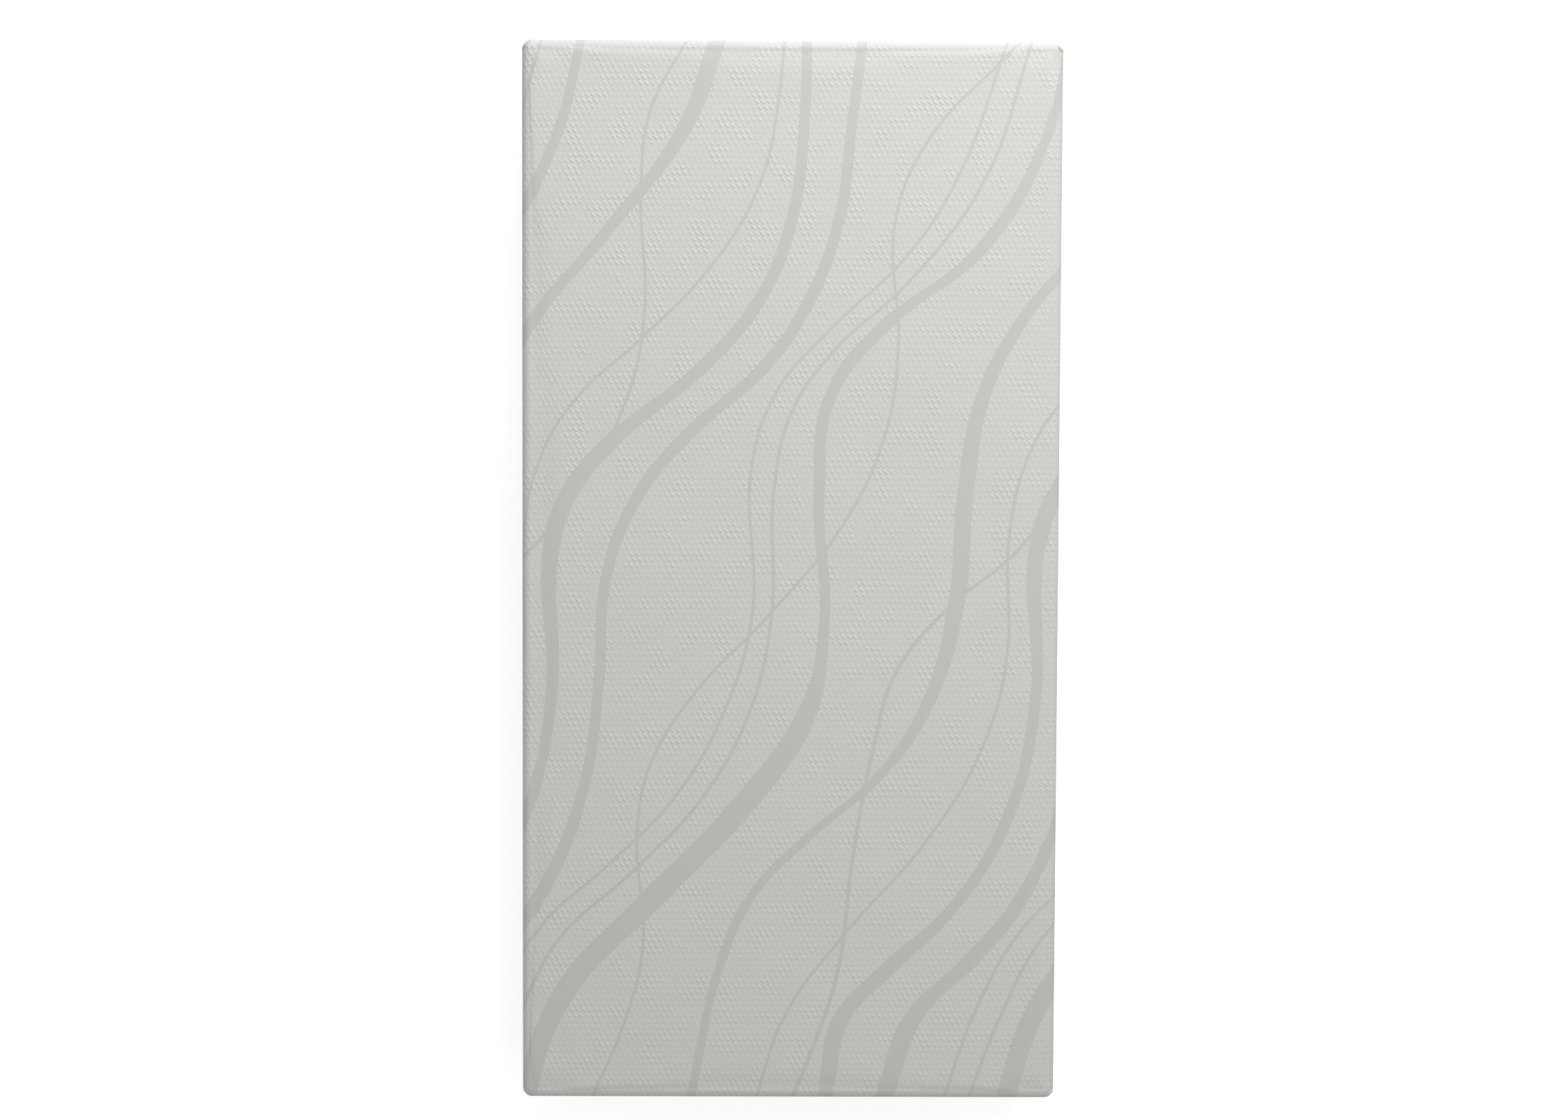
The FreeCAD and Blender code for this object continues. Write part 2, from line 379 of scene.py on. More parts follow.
def sew_corners(piece, tuck_sizes):
    """Moves points along their normals: a groove at each seam, puckers that fade away from it,
    and at each corner's top a crease across the diagonal with a ridge on each side of it."""
    points, normals = get_points(piece), get_normals(piece)
    apart = seam_distance(points)
    below = height - edge_radius * 0.6 - points[:, 2]
    above = points[:, 2] - top_low[2] - 14 * MM
    on_seam = 1 / (1 + np.exp(-below / (3 * MM))) / (1 + np.exp(-above / (3 * MM)))
    groove = -1.3 * MM * bell(apart, 2.2 * MM) * on_seam
    wave = np.sin(points[:, 2] / (2.6 * MM) + 2 * np.sin(points[:, 2] / (21 * MM)))
    pucker = 0.35 * MM * wave * bell(apart - 5 * MM, 5 * MM) * on_seam
    shift = groove + pucker
    for (side_x, side_y), size in tuck_sizes.items():
        corner = np.array([side_x * half_width, side_y * half_length])
        away = (corner - points[:, :2]) * (side_x, side_y)
        inwards = (away[:, 0] + away[:, 1]) / math.sqrt(2)
        across = (away[:, 0] - away[:, 1]) / math.sqrt(2) + 6 * MM
        near = bell(across, 6.5 * MM) * (points[:, 2] > height - edge_radius)
        crease = bell(inwards - 16 * MM, 1.6 * MM)
        ridge = bell(inwards - 12.5 * MM, 1.8 * MM) + 0.5 * bell(inwards - 20 * MM, 3 * MM)
        shift += size * near * (1.2 * ridge - 3.4 * crease) * MM
    set_points(piece, points + normals * shift[:, None])


def press_hem(piece, level, side):
    """Dips the cloth under the row of stitches next to its edge; side is 1 above the zip."""
    points, normals = get_points(piece), get_normals(piece)
    from_edge = (points[:, 2] - level) * side
    dip = -0.35 * MM * bell(from_edge - stitch_line, 1.5 * MM) - 0.3 * MM * bell(from_edge, 0.8 * MM)
    swell = 0.3 * MM * bell(from_edge - 8 * MM, 3 * MM)
    set_points(piece, points + normals * (dip + swell)[:, None])


def give_thickness(piece, thickness):
    """Adds a wall inwards from the surface that was modelled."""
    wall = piece.modifiers.new("wall", "SOLIDIFY")
    wall.thickness = thickness
    wall.offset = -1


subdivide(cover_top)
sew_corners(cover_top, {(1, 1): 1.0, (-1, 1): 0.5, (1, -1): 0.6, (-1, -1): 0.45})
press_hem(cover_top, top_low[2], 1)
face_thickness = 0.6 * MM
give_thickness(cover_top, face_thickness)
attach(cover_top, "mattress")
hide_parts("cover_top")
print("cover_top_knit", len(cover_top.data.polygons), "faces")

# %% [markdown]
# ## What the knit is lined with
#
# A loose knit like this one is joined to a soft backing that gives the cover its body. At the
# hem the backing forms the second ply, and the zip's tape is sewn in between the two. It is the
# same skin, a little further in, so the slot for the tape is simply the space left between.

# %% Backing of the cover's top
backing_inset = 1.35 * MM
backing_thickness = 1.6 * MM
backing_edge_radius = 20.3 * MM


def inset_skin(name, inset, low, high, low_radius=None):
    """The cover's skin drawn in by inset on all sides, with every round drawn in as well. With
    no low_radius it is open below."""
    return box_skin(
        name, half_plan - inset, low, high, backing_edge_radius - inset, plan_radius - inset,
        low_radius=low_radius,
    )


cover_backing = inset_skin("cover_top_backing", backing_inset, top_low[2], height - backing_inset)
give_thickness(cover_backing, backing_thickness)
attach(cover_backing, "mattress")
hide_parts("cover_top")

# %% [markdown]
# ## The base of the cover
#
# Underneath, the cover is a shallow tray of plainer, tougher cloth, which the mattress rests on.
# It is the same skin turned upside down, with a tight round at its foot. It has corner seams too,
# and a hem below the zip.

# %% Base cloth and its inner ply
base_radius = 8.25 * MM
base_top = base_high[2]
base_cloth = box_skin(
    "cover_base_cloth", half_plan, -base_top, 0, base_radius, plan_radius,
    extra_levels=(-base_top + stitch_line, -base_top + hem_depth), upside_down=True,
)


def sew_base(piece):
    """The base's own grooves: one at each corner seam, and slow waves where the cloth is slack
    between them, which end above the floor."""
    points, normals = get_points(piece), get_normals(piece)
    middle = (base_radius + base_top - hem_depth) / 2
    on_wall = bell(points[:, 2] - middle, 6 * MM)
    groove = -0.9 * MM * bell(seam_distance(points), 2 * MM)
    slack = np.sin(points[:, 0] / (31 * MM)) * np.sin(points[:, 1] / (43 * MM))
    shift = on_wall * (groove + 0.15 * MM * slack)
    set_points(piece, points + normals * shift[:, None])


subdivide(base_cloth, "SIMPLE")
sew_base(base_cloth)
press_hem(base_cloth, base_top, -1)
give_thickness(base_cloth, face_thickness)
base_backing = box_skin(
    "cover_base_backing", half_plan - backing_inset, -base_top, -backing_inset,
    base_radius - backing_inset, plan_radius - backing_inset, upside_down=True,
)
give_thickness(base_backing, backing_thickness)
for piece in (base_cloth, base_backing):
    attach(piece, "mattress")
    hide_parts("cover_base")
print("cover_base_cloth", len(base_cloth.data.polygons), "faces")

# %% [markdown]
# ## Inside the cover
#
# Unzipped, the mattress shows a thin white sock, knitted to slow a fire, with the foam in it.
# The sock is closed all round. The three slabs of foam are cut by a blade, so their lower edges
# are nearly sharp, and the top slab is rounded over so that nobody feels an edge.

# %% Fire sleeve and foam
sleeve_low, sleeve_high = box_of("fire_barrier_sleeve")
sleeve_inset = half_width - sleeve_high[0]
sleeve = inset_skin(
    "fire_sleeve_knit", sleeve_inset, sleeve_low[2], sleeve_high[2],
    low_radius=base_radius - sleeve_inset,
)
sleeve_wall = 1.2 * MM
give_thickness(sleeve, sleeve_wall)


def foam_slab(node, top_radius, low_radius):
    """A slab between the levels of its CAD node, with its own rounds above and below."""
    slab_low, slab_high = box_of(node)
    inset = half_width - slab_high[0]
    return box_skin(
        node + "_block", half_plan - inset, slab_low[2], slab_high[2], top_radius,
        plan_radius - inset, low_radius=low_radius, step=30 * MM, bend_steps=4,
    )


cut_edge = 0.8 * MM
foam_pieces = {
    "support_foam_core": foam_slab("support_foam_core", cut_edge, 3 * MM),
    "transition_foam_layer": foam_slab("transition_foam_layer", cut_edge, cut_edge),
    "memory_foam_layer": foam_slab("memory_foam_layer", 15 * MM, cut_edge),
}
for node, piece in {"fire_barrier_sleeve": sleeve, **foam_pieces}.items():
    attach(piece, "mattress")
    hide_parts(node)
    print(piece.name, len(piece.data.polygons), "faces")

# %% [markdown]
# ## Walking round the zip
#
# The zip runs all the way round the mattress. Everything on it is made by walking along one
# line: a function turns a distance round the plan into a place and an outward direction. The
# plan is straight runs joined by quarter circles, so between a few key distances both the
# middle of the turn and the angle change evenly, and `np.interp` is all that is needed. The
# walk starts in the middle of the zip's break, on the +X side, and goes towards the foot end.


# %% The walk
def walk(lengths, inset):
    """Plan places and outward directions at distances along the outline, drawn in by inset.
    place = middle of the turn + (plan_radius - inset) * outward direction."""
    core_x, core_y = half_plan - plan_radius
    turn = plan_radius * np.pi / 2
    legs = [break_middle + core_y, turn, 2 * core_x, turn, 2 * core_y, turn, 2 * core_x, turn,
            core_y - break_middle]
    keys = np.concatenate([[0], np.cumsum(legs)])
    x = np.interp(lengths, keys, core_x * np.array([1, 1, 1, -1, -1, -1, -1, 1, 1, 1]))
    stops = core_y * np.array([0, -1, -1, -1, -1, 1, 1, 1, 1, 0])
    stops[[0, -1]] = break_middle
    y = np.interp(lengths, keys, stops)
    angle = np.interp(lengths, keys, -np.pi / 2 * np.array([0, 0, 1, 1, 2, 2, 3, 3, 4, 4]))
    outward = np.stack([np.cos(angle), np.sin(angle)], axis=-1)
    place = np.stack([x, y], axis=-1) + (plan_radius - np.asarray(inset))[..., None] * outward
    return place, outward


way_round = 2 * (2 * (half_plan - plan_radius)).sum() + 2 * np.pi * plan_radius
print("way round the zip", round(float(way_round), 3), "m")


def key_lengths(start, end, step):
    """Distances from start to end: even steps, and closer ones round the corners."""
    lengths = np.linspace(start, end, round((end - start) / step) + 1)
    corner = plan_radius * np.pi / 2 * np.linspace(0, 1, 9)
    core_x, core_y = half_plan - plan_radius
    first = break_middle + core_y
    starts = [first, first + 2 * core_x + corner[-1], first + 2 * (core_x + core_y + corner[-1]),
              first + 4 * core_x + 2 * core_y + 3 * corner[-1]]
    corners = np.concatenate([begin + corner for begin in starts])
    far = np.abs(lengths[:, None] - corners[None, :]).min(axis=1) > step / 4
    return np.sort(np.concatenate([lengths[far], corners]))


# %% [markdown]
# ## Zip tapes
#
# A zip's teeth are sewn to a woven tape, and the tape is what the cover's plies are sewn to.
# Each tape is a flat strip with a small step along its inner edge, where it was folded under
# the coil. It stops short of the other end of the zip, and both ends are hidden by the patch.


# %% Tapes
def sweep(name, lengths, insets, levels):
    """A closed profile of insets and levels carried along the walk, with both ends closed.
    The UV is the distance walked and the level."""
    s, inset = np.meshgrid(lengths, insets, indexing="ij")
    level = np.broadcast_to(levels, s.shape)
    place, _ = walk(s, inset)
    points = np.concatenate([place, level[..., None]], axis=-1).reshape(-1, 3)
    sides = grid_quads(*s.shape, closed_columns=True)
    last = (len(lengths) - 1) * len(insets)
    across = np.arange(len(insets) // 2 - 1)
    facing = len(insets) - 1 - across
    lid = np.stack([across, across + 1, facing - 1, facing], axis=1)
    faces = np.concatenate([sides, lid, lid[:, ::-1] + last])
    uv = np.stack([s, level], axis=-1).reshape(-1, 2)[faces]
    return weld(make_mesh(name, points, faces, uv), outwards=True)


tape_outer = 15 * MM  # from the zip's middle to the tape's sewn edge
tape_inner = 0.7 * MM  # and to its edge under the coil
tape_end = 4 * MM  # from the middle of the zip's break to where the tape is cut
tape_lengths = key_lengths(tape_end, way_round - tape_end, 40 * MM)
tapes = {}
for name, side in (("upper", 1), ("lower", -1)):
    outer_face = np.array([0.95, 0.75, 0.7, 0.7, 0.75]) * MM
    inner_face = np.array([1.25, 1.3, 1.3, 1.25, 1.05]) * MM
    out_levels = np.array([tape_inner, 1.1 * MM, 3.4 * MM, tape_outer - 0.4 * MM, tape_outer])
    in_levels = out_levels[::-1]
    insets = np.concatenate([outer_face, inner_face])
    levels = zip_level + side * np.concatenate([out_levels, in_levels])
    piece = sweep("zip_tape_weave_" + name, tape_lengths, insets, levels)
    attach(piece, "mattress")
    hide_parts("zip_tape_" + name)
    tapes[name] = piece
print("tape", len(piece.data.polygons), "faces")

# %% [markdown]
# ## Coils
#
# The teeth are one long nylon wire, wound into a flat coil. A coil is a helix: a circle that
# turns as it travels, here squashed into the flat shape it is pressed to. The upper and lower
# coils are half a turn apart, so the heads of one sit between those of the other. A thin tube
# is laid round that line; its frame is found from the line's own direction, for all its points
# at once.


# %% Coil rows
coil_low = box_of("zip_coil_upper")[0]
stops_low, stops_high = box_of("zip_top_stops")
coil_pitch = 2.0 * MM
coil_start = break_middle - stops_low[1]
coil_end = way_round - (box_of("zip_bottom_stop")[1][1] - break_middle)


def coil_row(name, side, pitch, samples=8, ring=4):
    """Tube round a squashed helix. Over one turn the wire goes in and out by swing about the
    tape's middle, and between its root on the tape and its head past the zip's middle."""
    turns = round((coil_end - coil_start) / pitch)
    turn = np.arange(turns * samples + 1) / samples
    phase = 2 * np.pi * turn + (0 if side > 0 else np.pi)
    s = coil_start + (coil_end - coil_start) * turn / turns
    head, root, swing, wire = -0.1 * MM, 2.7 * MM, 0.6 * MM, 0.4 * MM
    level = (head + root) / 2 - (root - head) / 2 * np.cos(phase)
    inset = MM + swing * np.sin(phase)
    place, outward = walk(s, inset)
    line = np.concatenate([place, (zip_level + side * level)[:, None]], axis=1)
    along = np.gradient(line, axis=0)
    along /= np.linalg.norm(along, axis=1, keepdims=True)
    travel = np.stack([outward[:, 1], -outward[:, 0], np.zeros(len(s))], axis=1)
    first = np.cross(along, travel)
    first /= np.linalg.norm(first, axis=1, keepdims=True)
    second = np.cross(along, first)
    angle = 2 * np.pi * (np.arange(ring) + 0.5) / ring
    cosine, sine = np.cos(angle)[None, :, None], np.sin(angle)[None, :, None]
    points = line[:, None] + wire * (cosine * first[:, None] + sine * second[:, None])
    sides = grid_quads(len(s), ring, closed_columns=True)
    lids = np.array([[0, 1, 2, 3], [3, 2, 1, 0]]) + np.array([[0], [(len(s) - 1) * ring]])
    return weld(make_mesh(name, points.reshape(-1, 3), np.concatenate([sides, lids])), outwards=True)


coils = {}
for name, side in (("upper", 1), ("lower", -1)):
    piece = coil_row("zip_coil_wire_" + name, side, coil_pitch)
    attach(piece, "mattress")
    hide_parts("zip_coil_" + name)
    coils[name] = piece
    print(piece.name, 2 * len(piece.data.polygons), "triangles")

# %% [markdown]
# ## Stitches
#
# A sewn row is what tells the eye that cloth is cloth. Each stitch is a short length of thread
# that comes up out of the cloth, lies over it and goes back in: a small tube whose middle
# follows half a wave and whose ends close. The same stitch is repeated hundreds of times, so
# it has only a few dozen faces.


# %% A row of stitches
thread_radius = 0.28 * MM
stitch_pitch = 4.4 * MM


def stitch_row(name, starts, ends, outwards, rings=5, ring=6):
    """Stitches from points starts to ends, n x 3 arrays, each rising along its outward
    direction: height = sin(pi t), and thread radius = the fourth root of 1 - (2t - 1)^8."""
    t = np.linspace(0, 1, rings)
    angle = 2 * np.pi * np.arange(ring) / ring
    along = ends - starts
    along /= np.linalg.norm(along, axis=1, keepdims=True)
    side = np.cross(along, outwards)
    radius = thread_radius * (1 - (2 * t - 1) ** 8) ** 0.25
    lift = thread_radius * (1.1 * np.sin(np.pi * t) - 0.6)
    line = starts[:, None] + (ends - starts)[:, None] * t[None, :, None]
    line = line + outwards[:, None] * lift[None, :, None]
    cosine, sine = np.cos(angle)[:, None], np.sin(angle)[:, None]
    spoke = cosine * outwards[:, None, None] + sine * side[:, None, None]
    points = line[:, :, None] + radius[None, :, None, None] * spoke
    quads = grid_quads(rings, ring, closed_columns=True)
    faces = (quads[None] + (np.arange(len(starts)) * rings * ring)[:, None, None]).reshape(-1, 4)
    return weld(make_mesh(name, points.reshape(-1, 3), faces), outwards=True)


def hem_stitches(name, level):
    """A row right round the mattress at one level, each stitch a little shorter than its pitch."""
    count = round(way_round / stitch_pitch)
    begin = way_round * np.arange(count) / count
    ends = []
    for shift in (0, 0.72 * stitch_pitch):
        place, outward = walk((begin + shift) % way_round, -0.05 * MM)
        ends.append(np.concatenate([place, np.full((count, 1), level)], axis=1))
    outwards = np.concatenate([outward, np.zeros((count, 1))], axis=1)
    return stitch_row(name, ends[0], ends[1], outwards)


hem_rows = [
    hem_stitches("hem_stitches_upper", top_low[2] + stitch_line),
    hem_stitches("hem_stitches_lower", base_top - stitch_line),
]
for piece in hem_rows:
    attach(piece, "mattress")
    print(piece.name, len(piece.data.polygons), "faces")

# %% [markdown]
# ## Patch over the ends of the zip
#
# The two ends of the tape meet near one head corner. A small patch of the base's cloth is sewn
# over them, so that no raw end shows. It is a cushion-like sheet: a flat rectangle with its
# corners rounded, puffed a little in the middle and pressed down along its stitches.


# %% Patch
def make_patch(name, columns=41, rows=35):
    """A grid over the patch's box. Height above the cover: a low crown, a rim where the edge
    is folded under, and a dip along the sewn line inside it. The corners are drawn in so that
    the outline is a superellipse of power 9."""
    half_y = (patch_high[1] - patch_low[1]) / 2
    half_z = (patch_high[2] - patch_low[2]) / 2
    a, b = np.meshgrid(np.linspace(-1, 1, columns), np.linspace(-1, 1, rows), indexing="ij")
    reach = np.maximum(np.abs(a), np.abs(b))
    power = 9
    superellipse = (np.abs(a) ** power + np.abs(b) ** power) ** (1 / power)
    round_in = reach / np.maximum(superellipse, 1e-9)
    y = break_middle + half_y * a * round_in
    z = (patch_low[2] + patch_high[2]) / 2 + half_z * b * round_in
    from_edge = (1 - reach) * half_z
    lift = 0.25 * MM + 0.45 * MM * (1 - bell(from_edge, 0.7 * MM))
    lift += 0.25 * MM * bell(from_edge - 1.2 * MM, 1.0 * MM) - 0.35 * MM * bell(from_edge - 3 * MM, 0.9 * MM)
    lift += 0.18 * MM * (1 - reach**2) * np.cos(3.1 * a + 1.3) * np.cos(2.3 * b)
    x = half_width + lift
    points = np.stack([x, y, z], axis=-1).reshape(-1, 3)
    uv = np.stack([y - break_middle, z], axis=-1).reshape(-1, 2)
    quads = grid_quads(columns, rows)
    return make_mesh(name, points, quads, uv[quads])


patch = make_patch("zip_patch_cloth")
give_thickness(patch, 0.45 * MM)
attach(patch, "mattress")
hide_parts("zip_end_patch")


def patch_stitches():
    """Stitches along a rectangle inside the patch's edge, a whole number on each side."""
    half = np.array([patch_high[1] - patch_low[1], patch_high[2] - patch_low[2]]) / 2 - stitch_line
    middle = np.array([break_middle, (patch_low[2] + patch_high[2]) / 2])
    corners = middle + half * np.array([(-1, -1), (1, -1), (1, 1), (-1, 1)])
    starts, ends = [], []
    for first, second in zip(corners, np.roll(corners, -1, axis=0)):
        count = round(np.linalg.norm(second - first) / (3.4 * MM))
        t = np.arange(count)[:, None] / count
        starts.append(first + (second - first) * (t + 0.14 / count))
        ends.append(first + (second - first) * (t + 0.86 / count))
    level = half_width + 0.62 * MM
    starts, ends = (np.insert(np.concatenate(p), 0, level, axis=1) for p in (starts, ends))
    return stitch_row("patch_stitches", starts, ends, np.tile([1.0, 0, 0], (len(starts), 1)))


patch_thread = patch_stitches()
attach(patch_thread, "mattress")

# %% [markdown]
# ## Stops
#
# A stop is a strip of metal, bent round the tape's edge and squeezed shut. At the end of the
# run each row has one, so the slider can't come off, and where the rows begin one wide stop
# holds both. The squeezed strip has round edges and a shallow waist.


# %% Stops
def make_stop(name, boxes, steps=12):
    """Rounded blocks: a ball pushed out to a superellipsoid, x, y, z = half * sign(d) * |d|^0.35
    for each direction d, with a waist of a tenth across its middle."""
    polar = np.linspace(0, np.pi, steps + 1)
    around = np.linspace(0, 2 * np.pi, 2 * steps, endpoint=False)
    polar, around = np.meshgrid(polar, around, indexing="ij")
    x, y, z = np.sin(polar) * np.cos(around), np.sin(polar) * np.sin(around), np.cos(polar)
    ball = np.stack([x, y, z], axis=-1)
    ball = np.sign(ball) * np.abs(ball) ** 0.35
    quads = grid_quads(steps + 1, 2 * steps, closed_columns=True)
    points, faces = [], []
    for low, high in boxes:
        middle, half = (low + high) / 2, (high - low) / 2
        block = ball * half
        block[..., 0] *= 1 - 0.1 * bell(block[..., 2], half[2] / 2)
        points.append((middle + block).reshape(-1, 3))
        faces.append(quads + len(faces) * polar.size)
    return weld(make_mesh(name, np.concatenate(points), np.concatenate(faces)), outwards=True)


def half_box(low, high, side):
    """The upper or lower half of the stops' box, without the bare middle of the zip."""
    low, high = low.copy(), high.copy()
    if side > 0:
        low[2] = coil_low[2]
    else:
        high[2] = 2 * zip_level - coil_low[2]
    return low, high


top_stops = make_stop("top_stops_metal", [half_box(stops_low, stops_high, side) for side in (1, -1)])
bottom_stop = make_stop("bottom_stop_metal", [box_of("zip_bottom_stop")])
for piece, node in ((top_stops, "zip_top_stops"), (bottom_stop, "zip_bottom_stop")):
    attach(piece, "mattress")
    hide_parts(node)
    print(piece.name, len(piece.data.polygons), "faces")

# %% [markdown]
# ## Writing a material as a formula
#
# A node tree is a formula with a picture round it. These helpers let the formulas below stay
# readable: `calc` adds one Math node, `ramp` turns a range smoothly into 0 to 1, and
# `new_group` opens a node group with named inputs and outputs. Colours are given as they look on
# a screen and turned into the linear values that the shader wants.


# %% Node helpers
def linear(red, green, blue):
    """A screen colour, 0 to 255, as the linear colour with alpha that the nodes use."""
    screen = np.array([red, green, blue]) / 255
    values = np.where(screen <= 0.04045, screen / 12.92, ((screen + 0.055) / 1.055) ** 2.4)
    return (*(float(v) for v in values), 1.0)


def feed(tree, socket, value):
    """Links a socket to an input, or writes a plain value into it."""
    if isinstance(value, bpy.types.NodeSocket):
        tree.links.new(value, socket)
    else:
        socket.default_value = value


def calc(tree, operation, *values, clamp=False):
    node = tree.nodes.new("ShaderNodeMath")
    node.operation = operation
    node.use_clamp = clamp
    for socket, value in zip(node.inputs, values):
        feed(tree, socket, value)
    return node.outputs[0]


def ramp(tree, value, low, high, out_low=0.0, out_high=1.0):
    """Smoothly out_low below low, out_high above high."""
    node = tree.nodes.new("ShaderNodeMapRange")
    node.interpolation_type = "SMOOTHSTEP"
    for socket, given in zip(node.inputs, (value, low, high, out_low, out_high)):
        feed(tree, socket, given)
    return node.outputs[0]


def noise(tree, vector, scale, detail=2.0, roughness=0.5):
    node = tree.nodes.new("ShaderNodeTexNoise")
    feed(tree, node.inputs["Vector"], vector)
    node.inputs["Scale"].default_value = scale
    node.inputs["Detail"].default_value = detail
    node.inputs["Roughness"].default_value = roughness
    return node.outputs["Fac"]


def blend_colours(tree, share, first, second):
    node = tree.nodes.new("ShaderNodeMix")
    node.data_type = "RGBA"
    for name, value in (("Factor_Float", share), ("A_Color", first), ("B_Color", second)):
        socket = next(s for s in node.inputs if s.identifier == name)
        feed(tree, socket, value)
    return next(s for s in node.outputs if s.identifier == "Result_Color")


def new_group(name, inputs, outputs):
    """A node group; inputs are (name, kind, default) and outputs (name, kind)."""
    tree = bpy.data.node_groups.new(name, "ShaderNodeTree")
    for label, kind, default in inputs:
        socket = tree.interface.new_socket(label, in_out="INPUT", socket_type="NodeSocket" + kind)
        if default is not None:
            socket.default_value = default
    for label, kind in outputs:
        tree.interface.new_socket(label, in_out="OUTPUT", socket_type="NodeSocket" + kind)
    start, end = tree.nodes.new("NodeGroupInput"), tree.nodes.new("NodeGroupOutput")
    return tree, start.outputs, end.inputs


def use_group(tree, group, **values):
    """Places a group in a tree; an underscore in a keyword stands for a space."""
    node = tree.nodes.new("ShaderNodeGroup")
    node.node_tree = group
    for name, value in values.items():
        feed(tree, node.inputs[name.replace("_", " ")], value)
    return node.outputs


def new_material(name, **plain):
    """A material, its tree and its main shader, with plain values set on the shader's sockets."""
    material = bpy.data.materials.new(name)
    material.use_nodes = True
    tree = material.node_tree
    shader = next(n for n in tree.nodes if n.type == "BSDF_PRINCIPLED")
    for socket, value in plain.items():
        shader.inputs[socket.replace("_", " ")].default_value = value
    return material, tree, shader


def object_place(tree):
    return tree.nodes.new("ShaderNodeTexCoord").outputs["Object"]


def cloth_place(tree):
    node = tree.nodes.new("ShaderNodeUVMap")
    node.uv_map = "cloth"
    return node.outputs["UV"]


def split(tree, vector):
    node = tree.nodes.new("ShaderNodeSeparateXYZ")
    feed(tree, node.inputs[0], vector)
    return node.outputs


def raise_by(tree, height, distance=MM, strength=1.0):
    """A Bump node whose height is in the unit of distance."""
    node = tree.nodes.new("ShaderNodeBump")
    node.inputs["Distance"].default_value = distance
    node.inputs["Strength"].default_value = strength
    feed(tree, node.inputs["Height"], height)
    return node.outputs["Normal"]


def paint(piece, material):
    piece.data.materials.clear()
    piece.data.materials.append(material)


# %% [markdown]
# ## Ribbons worked into the knit
#
# Nine ribbons flow from the head end to the foot end, four of them wide and soft, five thin.
# The knitting machine repeats the group across the cloth. A ribbon never turns back, so it is
# one function: how far across the cloth it lies at each place along it. A Float Curve node
# holds that function as a few points with a smooth line through them, and a second one holds
# its width, so the edges stay sharp at any distance, which no painted mesh could match.
# A path is given in centimetres from the middle of the cloth: first how far along, then
# how far across. Points stand only where the ribbon bends. Widths are in millimetres.

# %% The ribbons
CM = 0.01
REPEAT = 0.873  # from one group of nine to the next, across the cloth
REACH = 1.25  # the curves run this far each way along the cloth
SPAN = 1.3  # and this far each way across it
WIDEST = 0.1  # no ribbon takes more room across the cloth than this
EDGE_BLUR = 0.7 * MM  # half the strip in which a ribbon's edge fades out

RIBBONS = [
    {
        "path": [(120, 53), (95, 49.5), (75, 44), (58, 33.5), (44, 16), (32, 7), (15, 5), (-10, 6),
                 (-25, 3), (-40, -7), (-60, -26), (-75, -40), (-90, -46.5), (-120, -50)],
        "width": [(95, 16), (46, 22), (20, 20), (-10, 19), (-33, 41), (-70, 41), (-80, 34)],
    },
    {
        "path": [(120, -5), (95, -13.5), (80, -19), (60, -34), (45, -46.5), (32, -53), (15, -56),
                 (-5, -57.5), (-22, -62), (-35, -70), (-48, -84.5), (-58, -94), (-70, -99.5),
                 (-95, -105), (-120, -110)],
        "width": [(95, 29), (75, 25), (54, 18), (20, 29), (-6, 29), (-27, 20), (-42, 15)],
    },
    {
        "path": [(120, 1), (80, 2), (60, -1), (48, -6.5), (38, -15), (22, -34), (14, -40), (5, -43),
                 (-22, -43), (-44, -48), (-60, -57.5), (-72, -70), (-81, -78), (-90, -80),
                 (-120, -82)],
        "width": [(95, 17), (33, 23), (20, 30), (4, 30), (-15, 21), (-60, 19), (-72, 28)],
    },
    {
        "path": [(120, 15), (80, 10.5), (62, 8), (46, 1.5), (36, -6), (26, -17.5), (14, -27.5),
                 (0, -33), (-20, -34.5), (-38, -37), (-58, -45), (-70, -54.5), (-80, -64.5),
                 (-92, -69), (-120, -75)],
        "width": [(95, 17), (28, 22), (5, 19), (-45, 19), (-68, 27), (-90, 32)],
    },
    {
        "path": [(120, 45), (90, 36.5), (70, 29), (57, 20.5), (44, 7), (33, -2.5), (20, -7),
                 (-8, -7), (-25, -12), (-40, -20.5), (-52, -32), (-64, -45), (-78, -53),
                 (-95, -59), (-120, -66)],
        "width": [(0, 5)],
    },
    {
        "path": [(120, 48), (90, 41), (70, 34), (52, 20.5), (40, 7.5), (29, 0), (16, -3),
                 (-8, -3.5), (-24, -7), (-40, -15.5), (-54, -28.5), (-66, -41.5), (-78, -48),
                 (-95, -54.5), (-120, -62)],
        "width": [(0, 5.5)],
    },
    {
        "path": [(120, -2), (85, -2.5), (68, -6.5), (55, -14.5), (42, -27), (32, -38), (22, -44.5),
                 (8, -48), (-16, -48.5), (-32, -53), (-48, -62.5), (-66, -78), (-80, -88),
                 (-95, -93), (-120, -99)],
        "width": [(0, 5)],
    },
    {
        "path": [(120, -4), (94, -19.5), (82, -25.5), (70, -27), (45, -26.5), (30, -30),
                 (18, -36.5), (4, -47), (-6, -59), (-18, -68.5), (-30, -72), (-52, -76),
                 (-72, -78.5), (-86, -83), (-120, -98)],
        "width": [(40, 5), (-20, 6.5)],
    },
    {
        "path": [(120, 62), (93, 38.5), (78, 24.5), (64, 18.5), (40, 19), (26, 17), (10, 10),
                 (-8, -4.5), (-20, -16), (-34, -25), (-46, -27.5), (-68, -26.5), (-82, -30),
                 (-95, -35.5), (-120, -45)],
        "width": [(0, 5)],
    },
]


